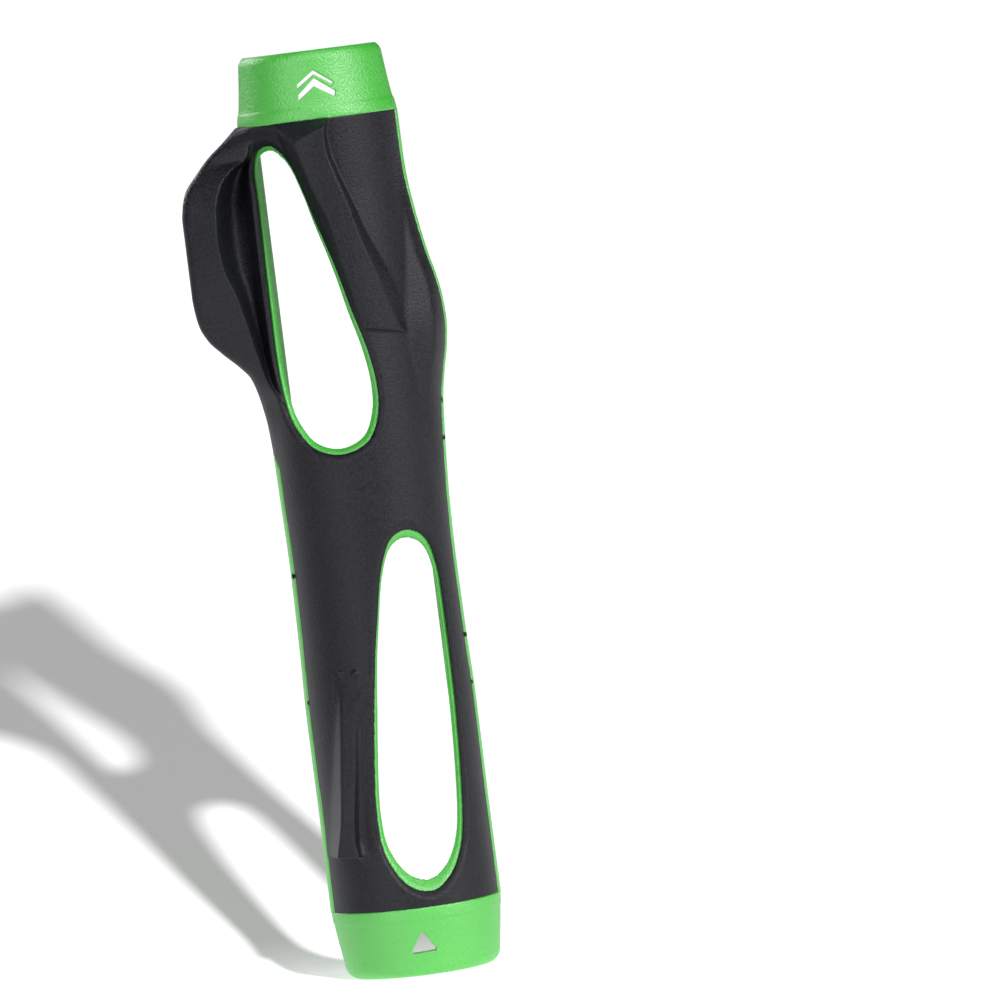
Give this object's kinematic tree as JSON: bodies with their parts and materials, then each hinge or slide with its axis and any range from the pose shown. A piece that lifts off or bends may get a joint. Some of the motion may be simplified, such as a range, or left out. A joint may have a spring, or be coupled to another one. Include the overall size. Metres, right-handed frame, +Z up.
{
  "type": "golf grip training sleeve",
  "caption": "Clip-on sleeve for a golf club's grip: a C-shaped tube with collars, drafted windows, a thumb wing, a diagonal ridge and a finger fin.",
  "frame": {"origin": "on the bore axis at the plane of the lower rim, the one of the triangle collar", "axes": "+Z up the bore towards the chevron collar, -Y towards the marks and windows, +Y out of the open slot, +X to the right seen from the front"},
  "size_m": [0.0468, 0.0281, 0.175],
  "materials": {
    "green_plastic": "fine satin texture",
    "black_rubber": "fine matte grain"
  },
  "bodies": {
    "root": {"core_sleeve": "green_plastic", "grip_skin": "black_rubber"}
  },
  "joints": []
}
